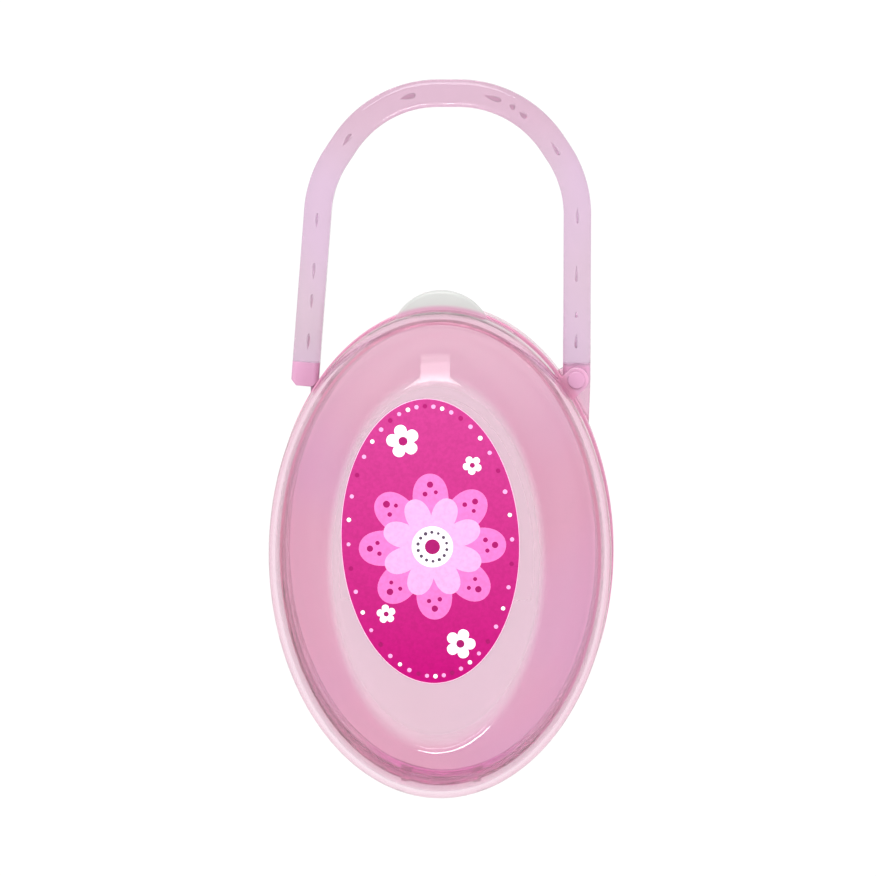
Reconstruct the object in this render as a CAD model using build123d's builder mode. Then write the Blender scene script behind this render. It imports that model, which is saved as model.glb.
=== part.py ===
from build123d import *
import os
from math import cos, floor, hypot, pi, sin, sqrt

os.makedirs("parts", exist_ok=True)

# Pacifier sterilizer case: a deep rear shell and a domed lid, hinged at the lower end and
# opened by a tab at the upper end, with a carrying handle that swings open at one shoulder.
# X runs across the case, +Y towards the handle and +Z out through the lid. The origin is the
# middle of the flat oval back that the case lies on.

# Shells
shell_width = 69.4  # across both shells, where they meet
shell_length = 99.2
rear_depth = 24.0  # back face to rim
lid_depth = 22.0  # rim to the lid's flat face
wall = 1.4
facet_width = 40.0  # flat oval on the back and on the lid
facet_length = 74.8
rear_skirt = 11.0  # straight part of the rear wall, below the rim
lid_skirt = 7.0
rear_belly = 19.0  # distance from the rim at which the rear wall turns over
lid_belly = 16.0
dome_steps = 6  # sections between the straight part and the flat face
crease_round = 1.6  # round of the lid's edge between side and flat face

# Rim joint: the lid's skirt drops over a tongue that stands on the rear shell
rim_bead = 0.4  # the rear rim stands this far out past the lid
rim_band = 2.0  # height of that bead
bead_round = 0.35
rim_shelf = 6.0  # the rear wall is thicker for this far below the rim
rim_gap = 0.2
tongue_height = 6.0
tongue_thickness = 1.1  # at its foot
tongue_draft = 0.35  # its top leans in this far, so that the lid can swing up past it
lap_clearance = 0.2

# Thumb tab on the lid
tab_width = 18.7
tab_reach = 3.9  # past the end of the lid
tab_thickness = 1.8
tab_round = 0.5

# Lid hinge at the lower end
hinge_inset = 1.1  # pin line, in from the shells' end
hinge_drop = 4.2  # pin line, below the rim
barrel_radius = 1.1
hinge_pin_radius = 0.5
bore_clearance = 0.05
knuckle_width = 13.4
lug_width = 1.8
lug_back = 0.9  # lug behind the pin line, where it joins the lid
lug_overlap = 1.2  # lug's height inside the lid's skirt
side_clearance = 0.3
pin_proud = 0.2

# Carrying handle
bar_width = 5.6
bar_thickness = 4.0
bar_round = 1.1
crown_reach = 43.0  # middle of the handle's crown, past the end of the case
crown_rise_share = 0.339  # crown above the two lower bends, as a share of the handle's width
crown_inset_share = 0.228  # upper bends in from the legs, as a share of the handle's width
bend_share = 0.436  # radius of the four bends, as a share of the handle's width
left_lean = 3.35  # the free leg spreads outward this far, from bend to tip
handle_gap = 0.2  # above and below the handle, between the ears

# Handle pivot at the right shoulder
pivot_setback = 14.7  # back from the end of the case
pivot_standoff = 2.5  # out from the rim bead
knuckle_neck = 2.0  # end piece above the pivot
pivot_pin_radius = 1.2
pivot_head_radius = 1.8
pivot_head_height = 0.6
front_ear_radius = 2.5
rear_ear_thickness = 1.8
gusset_drop = 9.0
gusset_radius = 1.2
ear_root = 6.5  # how far the ears reach back into the shell

# Free end of the handle and its catch in the left shoulder
tip_setback = 16.5
tip_standoff = 2.2
tip_length = 4.9
tip_chamfer = 1.2
peg_radius = 0.8
peg_length = 2.8
peg_offset = 2.0  # towards the case from the middle of the bar
catch_clearance = 0.2

# Tangs that hold the two end pieces in the bar
tang_width = 2.6
tang_thickness = 1.6
tang_length = 5.0
tang_clearance = 0.05

# Drip rack on four posts in the rear shell
rack_width = 27.0
rack_length = 48.0
rack_thickness = 1.2
rack_lip = 1.2
rack_lip_height = 1.4
rack_height = 5.0  # underside above the back face, clear of the water
drain_radius = 1.2
drain_pitch = 4.2
post_radius = 1.7
post_peg_radius = 0.7
post_peg_height = 1.0
post_reach_x = 6.5
post_reach_y = 15.5
rack_clearance = 0.1

# Steam vents through the rear wall, under the tab
vent_count = 3
vent_radius = 1.0
vent_pitch = 6.0
vent_height = 16.0

# Oval label on the lid
label_width = 35.4
label_length = 57.0
label_thickness = 0.2
label_shift_x = -1.1
label_shift_y = 5.3
label_turn = 2.2

# Worked-out places
width_inset = (shell_width - facet_width) / 2
length_share = (shell_length - facet_length) / 2 / width_inset
bead_half_width = shell_width / 2 + rim_bead
bead_half_length = shell_length / 2 + rim_bead
lid_base = rear_depth + rim_gap
lid_top = lid_base + lid_depth
hinge_y = hinge_inset - shell_length / 2
hinge_z = rear_depth - hinge_drop
lug_middle = knuckle_width / 2 + side_clearance + lug_width / 2
bar_z = rear_depth - rim_band - handle_gap - bar_thickness / 2
rear_ear_top = bar_z - bar_thickness / 2 - handle_gap


def oval(inset, skin=0.0):
    """Half width and half length of a shell where its wall has come in by inset."""
    return shell_width / 2 - inset - skin, shell_length / 2 - inset * length_share - skin


def dome_station(step, depth, skirt, belly, skin):
    """One oval of a dome: half width, half length and distance from the rim.

    The outer face follows a curve from the end of the straight skirt to the flat face,
    and skin is how deep under it the oval lies, square to that curve.
    """
    upward = (1 - step) ** 2 * skirt + 2 * step * (1 - step) * belly + step**2 * depth
    slope_in = step * width_inset
    slope_up = (1 - step) * (belly - skirt) + step * (depth - belly)
    slope = hypot(slope_in, slope_up)
    inset = step**2 * width_inset
    return *oval(inset, skin * slope_up / slope), upward - skin * slope_in / slope


def rim_reach(y):
    """Half the width of the rim bead at a distance from the middle of the case."""
    return bead_half_width * sqrt(1 - (y / bead_half_length) ** 2)


def save(built, name):
    """Name a finished piece and write its file."""
    built.part.label = name
    export_step(built.part, f"parts/{name}.step")


pivot_y = bead_half_length - pivot_setback
pivot_x = rim_reach(pivot_y) + pivot_standoff
tip_y = bead_half_length - tip_setback
tip_x = -rim_reach(tip_y) - tip_standoff
left_top_x = tip_x + left_lean
handle_width = pivot_x - left_top_x
crown_inset = handle_width * crown_inset_share
bend_radius = handle_width * bend_share
crown_y = bead_half_length + crown_reach
shoulder_y = crown_y - handle_width * crown_rise_share
peg_x = tip_x + peg_offset

# The tongue fits inside the lid's skirt
tongue_foot = oval(0, wall + lap_clearance)
tongue_top = oval(0, wall + lap_clearance + tongue_draft)
mouth = oval(0, wall + lap_clearance + tongue_thickness)

# Rear shell
with BuildPart() as rear_cavity:
    with BuildSketch(Plane.XY.offset(rear_depth)):
        Ellipse(*oval(0, wall))
    extrude(amount=-rear_skirt)
    for station in range(dome_steps + 1):
        half_width, half_length, height = dome_station(
            station / dome_steps, rear_depth, rear_skirt, rear_belly, wall
        )
        with BuildSketch(Plane.XY.offset(rear_depth - height)):
            Ellipse(half_width, half_length)
    loft()
    # Under the tongue the rim is thicker than the wall below it
    with BuildSketch(Plane.XY.offset(rear_depth - rim_shelf)):
        Ellipse(shell_width, shell_length)
        Ellipse(*mouth, mode=Mode.SUBTRACT)
    extrude(amount=rim_shelf, mode=Mode.SUBTRACT)

with BuildPart() as tongue:
    with BuildSketch(Plane.XY.offset(rear_depth)):
        Ellipse(*tongue_foot)
    with BuildSketch(Plane.XY.offset(rear_depth + tongue_height)):
        Ellipse(*tongue_top)
    loft()
    with BuildSketch(Plane.XY.offset(rear_depth)):
        Ellipse(*mouth)
    extrude(amount=tongue_height, mode=Mode.SUBTRACT)

with BuildPart() as rear_shell:
    with BuildSketch(Plane.XY.offset(rear_depth)):
        Ellipse(*oval(0))
    extrude(amount=-rear_skirt)
    for station in range(dome_steps + 1):
        half_width, half_length, height = dome_station(
            station / dome_steps, rear_depth, rear_skirt, rear_belly, 0
        )
        with BuildSketch(Plane.XY.offset(rear_depth - height)):
            Ellipse(half_width, half_length)
    loft()
    with BuildSketch(Plane.XY.offset(rear_depth - rim_band)):
        Ellipse(bead_half_width, bead_half_length)
    extrude(amount=rim_band)
    fillet(rear_shell.faces().sort_by(Axis.Z)[-1].edges(), bead_round)
    # The bead stops short of the hinge
    with BuildSketch(Plane.XY.offset(rear_depth - rim_band)):
        Rectangle(
            2 * lug_middle + lug_width + 2 * side_clearance,
            bead_half_length,
            align=(Align.CENTER, Align.MAX),
        )
        Ellipse(*oval(0), mode=Mode.SUBTRACT)
    extrude(amount=rim_band, mode=Mode.SUBTRACT)

    # Two ears for the handle's pin: one in the rim band, one with a gusset behind the bar
    with BuildSketch(Plane.XY.offset(rear_depth - rim_band)):
        with Locations((pivot_x, pivot_y), (pivot_x - ear_root, pivot_y - ear_root)):
            Circle(front_ear_radius)
        make_hull()
    extrude(amount=rim_band)
    gusset_y = pivot_y - gusset_drop
    gusset_x = rim_reach(gusset_y) - gusset_radius
    with BuildSketch(Plane.XY.offset(rear_ear_top - rear_ear_thickness)):
        with Locations((pivot_x, pivot_y)):
            Circle(bar_width / 2)
        with Locations((gusset_x, gusset_y), (pivot_x - ear_root, pivot_y - gusset_radius)):
            Circle(gusset_radius)
        make_hull()
    extrude(amount=rear_ear_thickness)

    # Middle knuckle of the lid's hinge
    with BuildSketch(Plane.YZ):
        with Locations((hinge_y, hinge_z)):
            Circle(barrel_radius)
    extrude(amount=knuckle_width / 2, both=True)

    add(rear_cavity.part, mode=Mode.SUBTRACT)
    add(tongue.part)

    # Pockets that the lid's lugs turn in, and the bore for the hinge pin
    for side in (-1, 1):
        with BuildSketch(Plane.YZ.offset(side * lug_middle)):
            with Locations((hinge_y, hinge_z)):
                Circle(barrel_radius + side_clearance)
                Rectangle(
                    2 * (barrel_radius + side_clearance),
                    hinge_drop,
                    align=(Align.CENTER, Align.MIN),
                )
        extrude(amount=lug_width / 2 + side_clearance, both=True, mode=Mode.SUBTRACT)
    with BuildSketch(Plane.YZ):
        with Locations((hinge_y, hinge_z)):
            Circle(hinge_pin_radius + bore_clearance)
    extrude(amount=knuckle_width / 2, both=True, mode=Mode.SUBTRACT)

    # Relief that the handle's knuckle turns in, between the ears
    with BuildSketch(Plane.XY.offset(rear_ear_top)):
        with Locations((pivot_x, pivot_y)):
            Circle(bar_width / 2 + side_clearance)
    extrude(amount=bar_thickness + 2 * handle_gap, mode=Mode.SUBTRACT)

    # Bore for the handle's pin, and the hole that catches the free end's peg
    with BuildSketch(Plane.XY.offset(rear_ear_top - rear_ear_thickness)):
        with Locations((pivot_x, pivot_y)):
            Circle(pivot_pin_radius + bore_clearance)
    extrude(amount=rear_depth, mode=Mode.SUBTRACT)
    with BuildSketch(Plane.XZ.offset(-tip_y - tip_chamfer)):
        with Locations((peg_x, bar_z)):
            Circle(peg_radius + catch_clearance)
    extrude(amount=tip_chamfer + peg_length + catch_clearance, mode=Mode.SUBTRACT)

    # Steam vents
    with BuildSketch(Plane.XZ.offset(-mouth[1] / 2)):
        with Locations((0, vent_height)):
            with GridLocations(vent_pitch, 0, vent_count, 1):
                Circle(vent_radius)
    extrude(amount=-bead_half_length, mode=Mode.SUBTRACT)

    # Posts for the drip rack, each with a peg
    for radius, top in (
        (post_radius, rack_height),
        (post_peg_radius, rack_height + rack_thickness + post_peg_height),
    ):
        with BuildSketch(Plane.XY.offset(wall / 2)):
            with GridLocations(2 * post_reach_x, 2 * post_reach_y, 2, 2):
                Circle(radius)
        extrude(amount=top - wall / 2)

save(rear_shell, "rear_shell")

# Front lid
with BuildPart() as lid_cavity:
    with BuildSketch(Plane.XY.offset(lid_base)):
        Ellipse(*oval(0, wall))
    extrude(amount=lid_skirt)
    for station in range(dome_steps + 1):
        half_width, half_length, height = dome_station(
            station / dome_steps, lid_depth, lid_skirt, lid_belly, wall
        )
        with BuildSketch(Plane.XY.offset(lid_base + height)):
            Ellipse(half_width, half_length)
    loft()

# Thumb tab: the part of a round-edged disc that stands out past the lid
root_y = shell_length / 2 * sqrt(1 - (tab_width / shell_width) ** 2)
tab_rise = shell_length / 2 + tab_reach - root_y
tab_radius = ((tab_width / 2) ** 2 + tab_rise**2) / (2 * tab_rise)
with BuildPart() as thumb_tab:
    with BuildSketch(Plane.XY.offset(lid_base)):
        with Locations((0, root_y + tab_rise - tab_radius)):
            Circle(tab_radius)
    extrude(amount=tab_thickness)
    fillet(thumb_tab.edges().filter_by(GeomType.CIRCLE), tab_round)

with BuildPart() as front_lid:
    with BuildSketch(Plane.XY.offset(lid_base)):
        Ellipse(*oval(0))
    extrude(amount=lid_skirt)
    for station in range(dome_steps + 1):
        half_width, half_length, height = dome_station(
            station / dome_steps, lid_depth, lid_skirt, lid_belly, 0
        )
        with BuildSketch(Plane.XY.offset(lid_base + height)):
            Ellipse(half_width, half_length)
    loft()
    fillet(front_lid.faces().sort_by(Axis.Z)[-1].edges(), crease_round)

    add(thumb_tab.part)
    add(lid_cavity.part, mode=Mode.SUBTRACT)

    # Hinge lugs, each from the skirt down round the pin
    for side in (-1, 1):
        with BuildSketch(Plane.YZ.offset(side * lug_middle)):
            with Locations((hinge_y, hinge_z)):
                Circle(barrel_radius)
            with Locations((hinge_y - lug_back, lid_base)):
                Rectangle(lug_back + barrel_radius, lug_overlap, align=(Align.MIN, Align.MIN))
            make_hull()
        extrude(amount=lug_width / 2, both=True)
    with BuildSketch(Plane.YZ):
        with Locations((hinge_y, hinge_z)):
            Circle(hinge_pin_radius + bore_clearance)
    extrude(amount=lug_middle + lug_width, both=True, mode=Mode.SUBTRACT)

save(front_lid, "front_lid")

with BuildPart() as hinge_pin:
    with BuildSketch(Plane.YZ):
        with Locations((hinge_y, hinge_z)):
            Circle(hinge_pin_radius)
    extrude(amount=lug_middle + lug_width / 2 + pin_proud, both=True)
save(hinge_pin, "hinge_pin")

with BuildPart() as face_label:
    with BuildSketch(Plane.XY.offset(lid_top)):
        with Locations((label_shift_x, label_shift_y)):
            Ellipse(label_width / 2, label_length / 2, rotation=label_turn)
    extrude(amount=label_thickness)
save(face_label, "face_label")

# Handle: the bar is one soft moulding between two firm end pieces
right_end = (pivot_x, pivot_y + knuckle_neck, bar_z)
tip_end = Vector(tip_x, tip_y, bar_z)
leg_line = (Vector(left_top_x, shoulder_y, bar_z) - tip_end).normalized()
left_end = tip_end + leg_line * tip_length
right_plane = Plane(origin=right_end, x_dir=(1, 0, 0), z_dir=(0, 1, 0))
left_plane = Plane(origin=left_end, x_dir=(leg_line.Y, -leg_line.X, 0), z_dir=leg_line)
tip_plane = Plane(origin=tip_end, x_dir=(leg_line.Y, -leg_line.X, 0), z_dir=leg_line)

with BuildPart() as handle_bar:
    with BuildLine() as bar_path:
        FilletPolyline(
            right_end,
            (pivot_x, shoulder_y, bar_z),
            (pivot_x - crown_inset, crown_y, bar_z),
            (left_top_x + crown_inset, crown_y, bar_z),
            (left_top_x, shoulder_y, bar_z),
            left_end,
            radius=bend_radius,
        )
    with BuildSketch(right_plane):
        RectangleRounded(bar_width, bar_thickness, bar_round)
    sweep()
    for end_plane in (right_plane, left_plane):
        with BuildSketch(end_plane):
            Rectangle(tang_width + 2 * tang_clearance, tang_thickness + 2 * tang_clearance)
        extrude(amount=tang_length + tang_clearance, mode=Mode.SUBTRACT)
save(handle_bar, "handle_bar")

with BuildPart() as handle_knuckle:
    with BuildSketch(Plane.XY.offset(bar_z - bar_thickness / 2)):
        with Locations((pivot_x, pivot_y)):
            Circle(bar_width / 2)
    extrude(amount=bar_thickness)
    fillet(handle_knuckle.edges().filter_by(GeomType.CIRCLE), bar_round)
    with BuildSketch(right_plane):
        RectangleRounded(bar_width, bar_thickness, bar_round)
    extrude(amount=-knuckle_neck)
    split(bisect_by=right_plane, keep=Keep.BOTTOM)
    with BuildSketch(right_plane):
        Rectangle(tang_width, tang_thickness)
    extrude(amount=tang_length)
    with BuildSketch(Plane.XY.offset(bar_z)):
        with Locations((pivot_x, pivot_y)):
            Circle(pivot_pin_radius + bore_clearance)
    extrude(amount=bar_thickness, both=True, mode=Mode.SUBTRACT)
save(handle_knuckle, "handle_knuckle")

with BuildPart() as handle_tip:
    with BuildSketch(tip_plane):
        RectangleRounded(bar_width, bar_thickness, bar_round)
    extrude(amount=tip_length)
    # The free end is bevelled on both sides
    bevelled = Plane(origin=tip_end, x_dir=tip_plane.x_dir, z_dir=(0, 0, 1))
    with BuildSketch(bevelled):
        with BuildLine():
            Polyline(
                (-bar_width / 2, tip_length),
                (-bar_width / 2, tip_chamfer),
                (tip_chamfer - bar_width / 2, 0),
                (bar_width / 2 - tip_chamfer, 0),
                (bar_width / 2, tip_chamfer),
                (bar_width / 2, tip_length),
                close=True,
            )
        make_face()
    extrude(amount=bar_thickness, both=True, mode=Mode.INTERSECT)
    with BuildSketch(left_plane):
        Rectangle(tang_width, tang_thickness)
    extrude(amount=tang_length)
    with BuildSketch(Plane.XZ.offset(-tip_y - tip_chamfer - peg_radius)):
        with Locations((peg_x, bar_z)):
            Circle(peg_radius)
    extrude(amount=peg_length + tip_chamfer + peg_radius)
save(handle_tip, "handle_tip")

with BuildPart() as handle_pivot_pin:
    with BuildSketch(Plane.XY.offset(rear_ear_top - rear_ear_thickness)):
        with Locations((pivot_x, pivot_y)):
            Circle(pivot_pin_radius)
    extrude(amount=rear_depth - rear_ear_top + rear_ear_thickness)
    with BuildSketch(Plane.XY.offset(rear_depth)):
        with Locations((pivot_x, pivot_y)):
            Circle(pivot_head_radius)
    extrude(amount=pivot_head_height)
    fillet(handle_pivot_pin.faces().sort_by(Axis.Z)[-1].edges(), pivot_head_height / 2)
save(handle_pivot_pin, "handle_pivot_pin")

# Drip rack: an oval tray with a lip, drained all over and seated on the posts
with BuildPart() as pacifier_rack:
    with BuildSketch(Plane.XY.offset(rack_height)):
        Ellipse(rack_width / 2, rack_length / 2)
    extrude(amount=rack_thickness + rack_lip_height)
    with BuildSketch(Plane.XY.offset(rack_height + rack_thickness)):
        Ellipse(rack_width / 2 - rack_lip, rack_length / 2 - rack_lip)
    extrude(amount=rack_lip_height, mode=Mode.SUBTRACT)
    with BuildSketch(Plane.XY.offset(rack_height)):
        with GridLocations(2 * post_reach_x, 2 * post_reach_y, 2, 2):
            Circle(post_peg_radius + rack_clearance)
    extrude(amount=rack_thickness, mode=Mode.SUBTRACT)
    # Drain holes on rings, each ring an oval parallel to the tray's edge
    drains = [(0, 0)]
    for ring in range(1, floor((rack_width / 2 - rack_lip - drain_radius) / drain_pitch) + 1):
        ring_x = ring * drain_pitch
        ring_y = ring_x * (rack_length / 2 - rack_lip) / (rack_width / 2 - rack_lip)
        count = 4 * round(pi * (ring_x + ring_y) / drain_pitch / 4)
        turns = [2 * pi * (hole + 0.5) / count for hole in range(count)]
        drains += [(ring_x * cos(turn), ring_y * sin(turn)) for turn in turns]
    with BuildSketch(Plane.XY.offset(rack_height)):
        with Locations(*drains):
            Circle(drain_radius)
    extrude(amount=rack_thickness, mode=Mode.SUBTRACT)
save(pacifier_rack, "pacifier_rack")
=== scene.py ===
import bmesh
import bpy
from math import atan2, ceil, cos, hypot, pi, radians, sin, sqrt, tan
from mathutils import Matrix, Vector
from types import SimpleNamespace


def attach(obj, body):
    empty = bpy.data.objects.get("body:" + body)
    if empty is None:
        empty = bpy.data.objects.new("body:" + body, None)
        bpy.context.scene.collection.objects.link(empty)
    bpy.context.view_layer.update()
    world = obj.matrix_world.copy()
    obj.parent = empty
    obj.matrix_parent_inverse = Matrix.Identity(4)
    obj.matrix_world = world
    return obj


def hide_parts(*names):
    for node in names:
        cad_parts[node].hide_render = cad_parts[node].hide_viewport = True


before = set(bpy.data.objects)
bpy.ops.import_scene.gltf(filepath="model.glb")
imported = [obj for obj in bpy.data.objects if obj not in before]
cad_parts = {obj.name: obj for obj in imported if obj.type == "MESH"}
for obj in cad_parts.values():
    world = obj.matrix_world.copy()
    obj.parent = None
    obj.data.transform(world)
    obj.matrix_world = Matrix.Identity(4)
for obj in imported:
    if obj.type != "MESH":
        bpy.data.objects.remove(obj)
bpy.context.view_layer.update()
print("frame loaded:", len(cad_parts), "nodes")

mm = 0.001
around = 224  # points round every oval of the case


# Small helpers: colour, nodes, meshes


def hexColour(code):
    # sRGB hex, such as "E8A0C0", to the linear values that the shaders take
    parts = [int(code[i:i + 2], 16) / 255 for i in (0, 2, 4)]
    return (*[p / 12.92 if p <= 0.04045 else ((p + 0.055) / 1.055) ** 2.4 for p in parts], 1.0)


def addNode(tree, kind, links=None, **settings):
    # settings are the node's own options, links are its inputs: a value or another node's output
    node = tree.nodes.new(kind)
    for name, value in settings.items():
        setattr(node, name, value)
    for socket, source in (links or {}).items():
        if isinstance(source, bpy.types.NodeSocket):
            tree.links.new(source, node.inputs[socket])
        else:
            node.inputs[socket].default_value = source
    return node


def nodeValue(tree, kind, links=None, **settings):
    # a new node's first output
    return addNode(tree, kind, links, **settings).outputs[0]


def geometryNode(tree, kind, links=None, **settings):
    return nodeValue(tree, "GeometryNode" + kind, links, **settings)


def newMaterial(name):
    material = bpy.data.materials.new(name)
    material.use_nodes = True
    material.node_tree.nodes.clear()
    return material, material.node_tree


def addObject(name, mesh):
    thing = bpy.data.objects.new(name, mesh)
    bpy.context.scene.collection.objects.link(thing)
    return thing


def meshFrom(name, points, faces):
    mesh = bpy.data.meshes.new(name)
    mesh.from_pydata([(x * mm, y * mm, z * mm) for x, y, z in points], [], faces)
    mesh.validate()
    return mesh


def recalcNormals(mesh):
    work = bmesh.new()
    work.from_mesh(mesh)
    bmesh.ops.recalc_face_normals(work, faces=work.faces)
    work.to_mesh(mesh)
    work.free()


def ringsToMesh(name, rings):
    # closed skin over rings of equal length, each a list of points
    count = len(rings[0])
    points = [p for ring in rings for p in ring]
    faces = [tuple(range(count))[::-1]]
    for r in range(len(rings) - 1):
        for i in range(count):
            j = (i + 1) % count
            faces.append((r * count + i, r * count + j, (r + 1) * count + j, (r + 1) * count + i))
    faces.append(tuple((len(rings) - 1) * count + i for i in range(count)))
    mesh = meshFrom(name, points, faces)
    recalcNormals(mesh)
    return mesh


def ovalRing(halfWidth, halfLength, z, x=0.0, y=0.0, count=around):
    angles = [2 * pi * i / count for i in range(count)]
    return [(x + halfWidth * cos(a), y + halfLength * sin(a), z) for a in angles]


def hullOutline(points):
    # smallest convex outline round flat points, counter-clockwise
    ordered = sorted(set((round(u, 5), round(v, 5)) for u, v in points))
    halves = []
    for run in (ordered, ordered[::-1]):
        half = []
        for p in run:
            while len(half) > 1 and (
                (half[-1][0] - half[-2][0]) * (p[1] - half[-2][1])
                - (half[-1][1] - half[-2][1]) * (p[0] - half[-2][0])
            ) <= 0:
                half.pop()
            half.append(p)
        halves += half[:-1]
    return halves


def circlePoints(u, v, radius, count=48):
    angles = [2 * pi * i / count for i in range(count)]
    return [(u + radius * cos(a), v + radius * sin(a)) for a in angles]


def prism(name, outline, axis, low, high, rimRound=0.0):
    # outline pushed along an axis, with an optional small round on both rims
    place = {
        "X": lambda u, v, w: (w, u, v), "Y": lambda u, v, w: (u, w, v), "Z": lambda u, v, w: (u, v, w),
    }[axis]
    middleU = sum(p[0] for p in outline) / len(outline)
    middleV = sum(p[1] for p in outline) / len(outline)
    steps = [(0, 0)]
    if rimRound:
        angles = [pi / 8 * i for i in range(5)]
        steps = [(rimRound * (1 - sin(a)), rimRound * (1 - cos(a))) for a in angles]
    rings = []
    for side, end in ((1, low), (-1, high)):
        for shrink, lift in steps if side > 0 else steps[::-1]:
            ring = []
            for u, v in outline:
                outU, outV = u - middleU, v - middleV
                keep = 1 - shrink / hypot(outU, outV)
                ring.append(place(middleU + outU * keep, middleV + outV * keep, end + side * lift))
            rings.append(ring)
    return ringsToMesh(name, rings)


def rod(name, place, axis, low, high, count=48, rimRound=0.0):
    # place: the two other coordinates of its middle line, and its radius
    return prism(name, circlePoints(*place, count), axis, low, high, rimRound)


def joinMeshes(name, meshes):
    work = bmesh.new()
    for mesh in meshes:
        work.from_mesh(mesh)
    joined = bpy.data.meshes.new(name)
    work.to_mesh(joined)
    work.free()
    return joined


def carve(thing, mesh, how):
    # union with a second closed mesh, or a cut by it
    other = addObject("cutter", mesh)
    step = thing.modifiers.new("carve", "BOOLEAN")
    step.operation = how
    step.object = other
    step.solver = "EXACT"
    done = bpy.data.meshes.new_from_object(thing.evaluated_get(bpy.context.evaluated_depsgraph_get()))
    thing.modifiers.remove(step)
    thing.data = done
    bpy.data.objects.remove(other)


def finishPiece(thing, name, material, body, nodes, crease=28):
    # smooth up to the crease angle, in degrees; with none, flat
    if crease:
        for face in thing.data.polygons:
            face.use_smooth = True
        thing.data.set_sharp_from_angle(angle=radians(crease))
    thing.name = name
    thing.data.name = name
    thing.data.materials.clear()
    thing.data.materials.append(material)
    for face in thing.data.polygons:
        face.material_index = 0
    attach(thing, body)
    if nodes:
        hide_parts(*nodes)
    print("made", name, len(thing.data.polygons), "faces")


# Materials


def noise(tree, spot, scale, detail):
    links = {"Vector": spot, "Scale": scale, "Detail": detail}
    return addNode(tree, "ShaderNodeTexNoise", links).outputs["Fac"]


def ranged(tree, value, low, high, toLow=0.0, toHigh=1.0, **settings):
    # even change of a value between two limits
    links = {"Value": value, "From Min": low, "From Max": high, "To Min": toLow, "To Max": toHigh}
    return nodeValue(tree, "ShaderNodeMapRange", links, **settings)


def between(tree, value, low, high, toLow=0.0, toHigh=1.0):
    # the same as a soft step
    return ranged(tree, value, low, high, toLow, toHigh, interpolation_type="SMOOTHSTEP")


def maths(tree, how, *values):
    # works in shader and geometry trees alike
    return nodeValue(tree, "ShaderNodeMath", dict(enumerate(values)), operation=how)


def product(tree, *values):
    result = values[0]
    for value in values[1:]:
        result = maths(tree, "MULTIPLY", result, value)
    return result


def mixed(tree, factor, a, b):
    # numbers if the second one is a number, else colours, as hex codes or other nodes' outputs
    kind, out = ("FLOAT", 0) if isinstance(b, float) else ("RGBA", 2)
    a, b = [hexColour(value) if isinstance(value, str) else value for value in (a, b)]
    return addNode(tree, "ShaderNodeMix", {"Factor": factor, "A": a, "B": b}, data_type=kind).outputs[out]


def vectorMaths(tree, how, *values):
    return addNode(tree, "ShaderNodeVectorMath", dict(enumerate(values)), operation=how).outputs


def ovalReach(tree, spot, halfSizes):
    # 0 in the middle of the case, 1 on an oval of the given half sizes (m)
    scaled = vectorMaths(tree, "MULTIPLY", spot, (1 / halfSizes[0], 1 / halfSizes[1], 0))["Vector"]
    return vectorMaths(tree, "LENGTH", scaled)["Value"]


def separated(tree, vector):
    return addNode(tree, "ShaderNodeSeparateXYZ", {"Vector": vector}).outputs


def combined(tree, x=0.0, y=0.0, z=0.0):
    return nodeValue(tree, "ShaderNodeCombineXYZ", {"X": x, "Y": y, "Z": z})


def startPlastic(name):
    # a new material, its tree, the place in the case (m) and the same as three separate values
    material, tree = newMaterial(name)
    spot = addNode(tree, "ShaderNodeTexCoord").outputs["Object"]
    return material, tree, spot, separated(tree, spot)


def surfaceNormal(tree, height, strength, distance):
    links = {"Height": height, "Strength": strength, "Distance": distance}
    return nodeValue(tree, "ShaderNodeBump", links)


def finishSurface(tree, colour, rough, normal, ior, more, depth=None):
    # depth is the colour and density that a thick wall takes on
    inputs = {"Base Color": colour, "Roughness": rough, "Normal": normal, "IOR": ior, **more}
    outputs = {"Surface": nodeValue(tree, "ShaderNodeBsdfPrincipled", inputs)}
    if depth:
        links = {"Color": hexColour(depth[0]), "Density": depth[1]}
        outputs["Volume"] = nodeValue(tree, "ShaderNodeVolumeAbsorption", links)
    addNode(tree, "ShaderNodeOutputMaterial", outputs)


rimHalf = (0.0351, 0.0500)  # oval of the rim bead, m

# places of the marks below are in m, heights over the flat back
clearLook = SimpleNamespace(
    tints=("FCF7FA", "F9F3F7"),
    veil="DAC3CE",
    veilHalf=(0.0212, 0.0366),
    veilShift=(0.0, 0.0006, 0.0),
    veilHeight=(0.0440, 0.0446),
    veilEdge=(1.06, 0.90),  # shares of its oval over which it fades out
    veilThin=0.62,  # strength at the hinge end
    veilClear=0.50,
    grip=("E2B4CB", "DDE1DD"),  # at its root and past it
    gripHeight=(0.0268, 0.0262),
    gripStart=0.0440,
    gripClear=0.25,
    frostRough=0.28,
    skirt="EDC6D8",
    skirtHeight=(0.0430, 0.0350),
    depth=("EA9CBC", 34.0),
    ior=1.49,
)


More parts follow.
